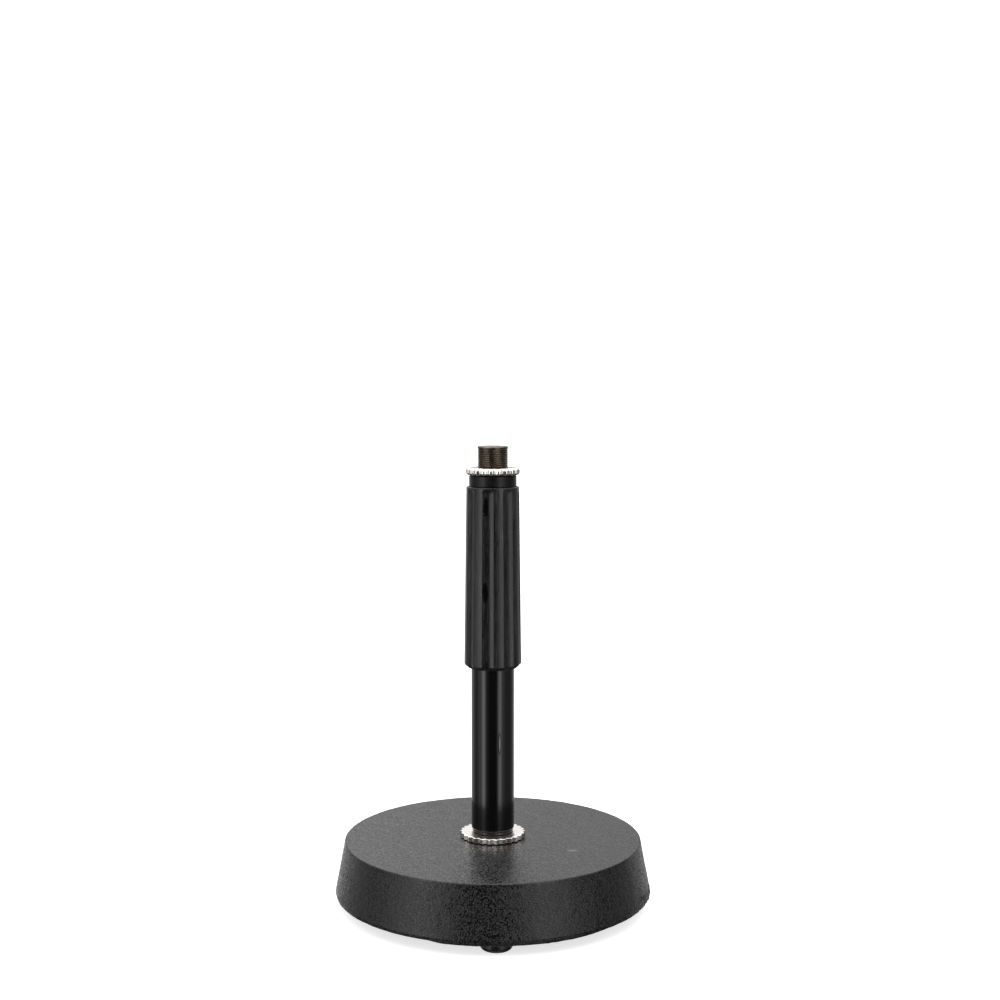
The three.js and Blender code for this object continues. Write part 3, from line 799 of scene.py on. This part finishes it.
def ring_outline(node, top_edge, bottom_edge):
    """Flat ring with softened edges; its outer wall has rows for the teeth to follow."""
    low, high, radius = lowest(node).z, highest(node).z, highest(node).x
    hole = HUB_HOLE
    return divided(rounded([
        (hole, low, 0.3), (radius, low, bottom_edge), (radius, high, top_edge),
        (hole, high, 0.5),
    ], 6, 0.1), 0.8)


def near_rim(radius, outer_radius):
    """0 inside the ring's plain middle, 1 at its toothed rim."""
    return clamped((radius - (outer_radius - TOOTH_REACH)) / (TOOTH_REACH - 1.0))


def toothed(node, teeth, depth, width):
    """A reshape that cuts V notches round the rim."""
    outer_radius = highest(node).x

    def reshape(radius, z, angle):
        part = abs(wave(angle, teeth)) / (width / 2)
        notch = max(0.0, 1 - part)
        return radius - depth * notch * near_rim(radius, outer_radius), z

    return reshape


def lobed(node, teeth, depth, phase_deg):
    """A reshape that leaves round lobes between narrow notches."""
    outer_radius = highest(node).x

    def reshape(radius, z, angle):
        part = wave(angle - math.radians(phase_deg), teeth)
        notch = (0.5 + 0.5 * math.cos(2 * math.pi * part)) ** LOBE_SHARPNESS
        return radius - depth * notch * near_rim(radius, outer_radius), z

    return reshape


def build_rings():
    base_ring = turned_piece(
        "base_lock_ring_toothed", ring_outline("base_lock_ring", 0.4, 0.4), "nickel_plate",
        BASE_RING_TEETH * 16,
        toothed("base_lock_ring", BASE_RING_TEETH, BASE_TOOTH_DEPTH, BASE_TOOTH_WIDTH))
    stands_for(base_ring, "base_lock_ring", "base_ring")
    top_ring = turned_piece(
        "top_lock_ring_scalloped", ring_outline("top_lock_ring", 1.9, 1.5), "nickel_plate",
        TOP_RING_TEETH * 20,
        lobed("top_lock_ring", TOP_RING_TEETH, TOP_TOOTH_DEPTH, TOP_TOOTH_PHASE_DEG))
    stands_for(top_ring, "top_lock_ring", "top_ring")


# ---- mast --------------------------------------------------------------------------------


def plain_ring(node, bore, outer, body, material, edge=0.25, segments=FINE):
    """A turned bush, washer or tube between the levels of its CAD node."""
    low, high = lowest(node).z, highest(node).z
    piece = turned_piece(f"{node}_turned", rounded([
        (bore, low, edge), (outer, low, edge), (outer, high, edge), (bore, high, edge),
    ]), material, segments)
    stands_for(piece, node, body)


def build_lower_mast():
    low, high = lowest("lower_stud").z, highest("lower_stud").z
    flange = highest("lower_stud").x
    thread_radius = HUB_HOLE - HOLE_CLEARANCE
    outline = rounded([
        (STUD_BORE, low, 0.4), (thread_radius, low, 0.9), (thread_radius, FLANGE_LOW, 0.15),
        (flange, FLANGE_LOW, 0.25), (flange, FLANGE_HIGH, 0.25), (SPIGOT, FLANGE_HIGH, 0.1),
        (SPIGOT, high, 0.5), (STUD_BORE, high, 0.4),
    ])
    outline = divided(
        outline, THREAD_PITCH / THREAD_ROWS, lambda radius, z: radius > 7.9 and z < FLANGE_LOW)
    stud = turned_piece(
        "lower_stud_threaded", outline, "black_oxide_steel", FINE,
        threaded(thread_radius, low + 0.9, FLANGE_LOW - 0.4, THREAD_PITCH, THREAD_DEPTH))
    stands_for(stud, "lower_stud", "base")

    plain_ring(
        "lower_tube", LOWER_TUBE_BORE, highest("lower_tube").x, "base", "gloss_black_enamel", 0.5)

    low, high = lowest("clutch_body").z, highest("clutch_body").z
    tube_radius = highest("clutch_body").x
    shoulder = highest("lower_tube").z + HOLE_CLEARANCE
    thread_low = shoulder + 2
    outline = rounded([
        (CLUTCH_BORE, low, 0.3), (SPIGOT, low, 0.5), (SPIGOT, shoulder, 0.1),
        (tube_radius, shoulder, 0.2), (tube_radius, thread_low, 0.3),
        (CLUTCH_THREAD, thread_low, 0.1), (CLUTCH_THREAD, high, 0.3), (CLUTCH_SEAT, high, 0.1),
        (CLUTCH_BORE, high - SEAT_LENGTH, 0.5),
    ])
    outline = divided(
        outline, CLUTCH_PITCH / THREAD_ROWS,
        lambda radius, z: radius > CLUTCH_THREAD - 0.1 and z > thread_low)
    body = turned_piece(
        "clutch_body_threaded", outline, "zinc_steel", FINE,
        threaded(
            CLUTCH_THREAD, thread_low + 0.4, high - 0.4, CLUTCH_PITCH, CLUTCH_THREAD_DEPTH))
    stands_for(body, "clutch_body", "base")


def sleeve_outline():
    """Section of the tapered grip, with rows close enough for the flutes to follow."""
    low, high = lowest("grip_sleeve").z, highest("grip_sleeve").z
    corner = low + 1.8
    return divided(rounded([
        (12.2, low, 0.1), (12.6, low, 0.25), (14.75, corner, 0.5), (13.6, high, 0.45),
        (12.2, high, 0.1),
    ]), 0.9, lambda radius, z: radius > 12.5)


def fluted(radius, z, angle):
    """Sinks the flutes into the sleeve's outside, with rounded ends near its top edge."""
    if radius < 12.55:
        return radius, z
    pitch_deg = 360 / FLUTES
    off_centre = wave(angle - math.radians(FLUTE_PHASE_DEG), FLUTES) * pitch_deg
    across = 1 - (off_centre / FLUTE_HALF_WIDTH_DEG) ** 2
    if across <= 0:
        return radius, z
    below_top = highest("grip_sleeve").z - z
    run_in = clamped((below_top - FLUTE_END) / FLUTE_RUN_IN)
    depth = FLUTE_DEPTH * across * math.sin(run_in * math.pi / 2)
    return radius - min(depth, radius - 12.5), z


def build_grip():
    sleeve = turned_piece(
        "grip_sleeve_fluted", sleeve_outline(), "satin_black_plastic", 360, fluted)
    stands_for(sleeve, "grip_sleeve", "clutch_grip")

    low, high, neck = lowest("grip_cap").z, highest("grip_cap").z, highest("grip_cap").x
    shoulder = highest("grip_sleeve").z + HOLE_CLEARANCE
    cap = turned_piece("grip_cap_neck", rounded([
        (CAP_LIP_BORE, low, 0.2), (CAP_SPIGOT, low, 0.3), (CAP_SPIGOT, shoulder, 0.1),
        (neck, shoulder, 0.15), (neck, high, 0.5), (CAP_BORE, high, 0.3),
        (CAP_BORE, low + 2, 0.1), (CAP_LIP_BORE, low + 2, 0.2),
    ]), "satin_black_paint")
    stands_for(cap, "grip_cap", "clutch_grip")

    plain_ring("clutch_nut", NUT_BORE, NUT_RADIUS, "clutch_grip", "zinc_steel")
    plain_ring("cap_bushing", SLIDING_BORE, WIPER_RADIUS, "clutch_grip", "natural_nylon")
    plain_ring(
        "skirt_bush", SKIRT_BUSH_BORE, SKIRT_BUSH_RADIUS, "clutch_grip", "natural_nylon", 0.12)
    plain_ring(
        "thrust_washer", CLUTCH_BORE, COLLET_HEAD, "clutch_carriage", "bare_brass", 0.15)
    build_collet()


def build_collet():
    """Tapered bush with one slit right through and three more from below."""
    low, high = lowest("collet").z, highest("collet").z
    taper = (CLUTCH_SEAT - CLUTCH_BORE) / SEAT_LENGTH
    seat = highest("clutch_body").z
    foot_radius = CLUTCH_BORE + taper * (low - (seat - SEAT_LENGTH)) - HOLE_CLEARANCE
    seat_radius = CLUTCH_SEAT - HOLE_CLEARANCE
    head = high - 4
    collet = turned_piece("collet_split", rounded([
        (SLIDING_BORE, low, 0.1), (foot_radius, low, 0.1), (seat_radius, seat, 0.2),
        (seat_radius, head, 0.1), (COLLET_HEAD, head, 0.2), (COLLET_HEAD, high, 0.3),
        (SLIDING_BORE, high, 0.3),
    ]), "natural_nylon")
    for slit in range(4):
        width = 1.6 if slit == 0 else 0.8
        slit_top = high + 1 if slit == 0 else high - 4.5
        height = slit_top - low + 1
        size = (width, SLIT_REACH, height)
        middle = (0, SLIT_REACH / 2, slit_top - height / 2)
        combined(collet, "DIFFERENCE", block(size, middle, 90 * slit))
    smoothed(collet.data)
    stands_for(collet, "collet", "clutch_carriage")


def build_upper_mast():
    low, high = lowest("upper_tube").z, highest("upper_tube").z
    tube, bead = UPPER_TUBE_RADIUS, highest("upper_tube").x
    groove_low = lowest("bush_retaining_ring").z - HOLE_CLEARANCE
    groove_high = highest("bush_retaining_ring").z + HOLE_CLEARANCE
    outline = rounded([
        (UPPER_TUBE_BORE, low, 0.3), (tube, low, 0.4), (tube, groove_low, 0.1),
        (CLIP_GROOVE, groove_low, 0.05), (CLIP_GROOVE, groove_high, 0.05),
        (tube, groove_high, 0.1), (tube, BEAD_LOW, 0.4), (bead, BEAD_LOW + 0.5, 0.6),
        (bead, BEAD_HIGH - 0.5, 0.6), (tube, BEAD_HIGH, 0.4), (tube, high, 0.35),
        (UPPER_TUBE_BORE, high, 0.3),
    ])
    piece = turned_piece("upper_tube_enamelled", outline, "gloss_black_enamel")
    stands_for(piece, "upper_tube", "upper_mast")

    low, high = lowest("upper_stud").z, highest("upper_stud").z
    shoulder = highest("upper_tube").z + HOLE_CLEARANCE
    radius = highest("upper_stud").x
    outline = rounded([
        (STUD_BORE, low, 0.3), (UPPER_SPIGOT, low, 0.5), (UPPER_SPIGOT, shoulder, 0.1),
        (radius, shoulder, 0.15), (radius, high, 0.8), (STUD_BORE, high, 0.5),
    ])
    outline = divided(
        outline, THREAD_PITCH / THREAD_ROWS, lambda radius, z: radius > 7.8 and z > shoulder)
    # the stud's nickel is darkened, partly as painted shade
    stud = turned_piece(
        "upper_stud_threaded", outline, "dark_nickel", FINE,
        threaded(radius, shoulder + 0.4, high - 0.7, THREAD_PITCH, THREAD_DEPTH))
    stands_for(stud, "upper_stud", "upper_mast")

    plain_ring(
        "guide_bush", SLIDING_BORE, GUIDE_RADIUS, "mast_carriage", "natural_nylon", 0.2)


def carry_over_retaining_ring():
    """The spring clip keeps its CAD shape and takes the plated steel."""
    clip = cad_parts["bush_retaining_ring"]
    clip.data.materials.clear()
    clip.data.materials.append(MATERIALS["zinc_steel"])


build_base()
build_feet()
build_rings()
build_lower_mast()
build_grip()
build_upper_mast()
carry_over_retaining_ring()

# ---- floor, light and camera -------------------------------------------------------------

CAMERA_DISTANCE = 0.7932  # from the mast's axis, along -Y
CAMERA_HEIGHT = 0.273
CAMERA_PITCH_DEG = 4.53
CAMERA_LENS = 55.81  # mm
CAMERA_SENSOR = 36  # mm
CAMERA_SHIFT = 0.0072
FLOOR_GREY = 0.5
FLOOR_GLOW = 0.72
BACKDROP_STRENGTH = 1.1


def build_floor():
    """A pale floor that glows a little, so that shadows on it stay faint."""
    bpy.ops.mesh.primitive_plane_add(size=12, location=(0, 0, 0))
    floor = bpy.context.object
    floor.name = "floor"
    material = bpy.data.materials.new("pale_floor")
    material.use_nodes = True
    principled = material.node_tree.nodes["Principled BSDF"]
    principled.inputs["Base Color"].default_value = (FLOOR_GREY, FLOOR_GREY, FLOOR_GREY, 1)
    principled.inputs["Roughness"].default_value = 0.9
    principled.inputs["Emission Color"].default_value = (1, 1, 1, 1)
    principled.inputs["Emission Strength"].default_value = FLOOR_GLOW
    floor.data.materials.append(material)
    floor.visible_glossy = False


class WorldLight:
    """Builds the world's strength from smooth steps of the direction it is seen in."""

    def __init__(self, world):
        self.nodes = world.node_tree.nodes
        self.links = world.node_tree.links
        coordinates = self.nodes.new("ShaderNodeTexCoord")
        split = self.nodes.new("ShaderNodeSeparateXYZ")
        self.links.new(coordinates.outputs["Generated"], split.inputs["Vector"])
        self.height = split.outputs["Z"]
        self.side = split.outputs["X"]
        # azimuth in degrees: 0 towards -Y, positive towards +X, up to 180 towards +Y
        front = self.math("MULTIPLY", split.outputs["Y"], -1.0)
        turn = self.math("ARCTAN2", split.outputs["X"], front)
        self.azimuth = self.math("MULTIPLY", turn, 180 / math.pi)
        self.turned_away = self.math("ABSOLUTE", self.azimuth)

    def math(self, operation, *values):
        node = self.nodes.new("ShaderNodeMath")
        node.operation = operation
        for socket, value in zip(node.inputs, values):
            if isinstance(value, (int, float)):
                socket.default_value = value
            else:
                self.links.new(value, socket)
        return node.outputs["Value"]

    def step(self, source, start, end, low, high):
        node = self.nodes.new("ShaderNodeMapRange")
        node.interpolation_type = "SMOOTHSTEP"
        node.inputs["From Min"].default_value = start
        node.inputs["From Max"].default_value = end
        node.inputs["To Min"].default_value = low
        node.inputs["To Max"].default_value = high
        self.links.new(source, node.inputs["Value"])
        return node.outputs["Result"]

    def strip(self, middle_deg, half_width_deg, soft_deg, radiance):
        """A tall softbox centred on an azimuth."""
        away = self.math("ABSOLUTE", self.math("SUBTRACT", self.azimuth, middle_deg))
        start, end = half_width_deg - soft_deg, half_width_deg + soft_deg
        return self.step(away, start, end, radiance, 0.0)

    def total(self, *parts):
        light = parts[0]
        for part in parts[1:]:
            light = self.math("ADD", light, part)
        return light


def build_world():
    """Studio surroundings: dark behind the camera, a tall softbox on each side, pale behind."""
    world = bpy.data.worlds.new("studio")
    bpy.context.scene.world = world
    world.use_nodes = True
    light = WorldLight(world)
    around = light.total(
        light.step(light.turned_away, 14, 34, 0.03, 0.24),
        light.step(light.azimuth, 80, 108, 0.0, -0.05),
        light.step(light.azimuth, 112, 155, 0.0, 0.6),
        light.step(light.azimuth, -100, -140, 0.0, 0.45))
    backdrop = light.math(
        "MULTIPLY",
        light.step(light.turned_away, 140, 165, 0.0, 0.3),
        light.step(light.side, -0.2, 0.1, 1.4, -0.4))
    behind = light.math(
        "MULTIPLY",
        light.total(around, backdrop),
        light.total(
            light.step(light.height, 0.0, 0.08, 0.9, 0.25),
            light.step(light.height, 0.16, 0.32, 0.0, 1.3)))
    bright = light.total(
        behind,
        light.strip(-50, 9, 8, 2.3),
        light.strip(-70, 15, 10, 0.5),
        light.strip(38, 9, 8, 2.0),
        light.strip(54, 12, 10, 0.35),
        light.step(light.height, 0.4, 0.9, 0.0, 1.5))
    below = light.math(
        "MULTIPLY", bright, light.step(light.height, -0.5, -0.38, 0.05, 1.0))
    strength = light.math("ADD", below, light.step(light.height, -0.98, -0.86, 0.7, 0.0))

    # the camera sees a plain white backdrop in every direction
    nodes, links = light.nodes, light.links
    path = nodes.new("ShaderNodeLightPath")
    seen = nodes.new("ShaderNodeMix")
    links.new(path.outputs["Is Camera Ray"], seen.inputs["Factor"])
    links.new(strength, seen.inputs["A"])
    seen.inputs["B"].default_value = BACKDROP_STRENGTH
    background = nodes["Background"]
    links.new(seen.outputs["Result"], background.inputs["Strength"])
    background.inputs["Color"].default_value = (1, 1, 1, 1)


def build_softbox(name, place, size, watts):
    light = bpy.data.lights.new(name, "AREA")
    light.shape = "RECTANGLE"
    light.size, light.size_y = size
    light.energy = watts
    lamp = bpy.data.objects.new(name, light)
    lamp.location = place
    lamp.rotation_euler = (Vector((0, 0, 0.05)) - Vector(place)).to_track_quat("-Z", "Y").to_euler()
    lamp.visible_glossy = False
    bpy.context.scene.collection.objects.link(lamp)


def build_camera():
    data = bpy.data.cameras.new("camera")
    data.lens = CAMERA_LENS
    data.sensor_width = CAMERA_SENSOR
    data.shift_x = CAMERA_SHIFT
    camera = bpy.data.objects.new("camera", data)
    camera.location = (0, -CAMERA_DISTANCE, CAMERA_HEIGHT)
    camera.rotation_euler = (math.radians(90 - CAMERA_PITCH_DEG), 0, 0)
    bpy.context.scene.collection.objects.link(camera)
    bpy.context.scene.camera = camera


build_floor()
build_world()
build_softbox("overhead_softbox", (0, 0.2, 1.5), (1.2, 1.2), 12)
build_camera()
bpy.context.scene.view_settings.view_transform = "Standard"
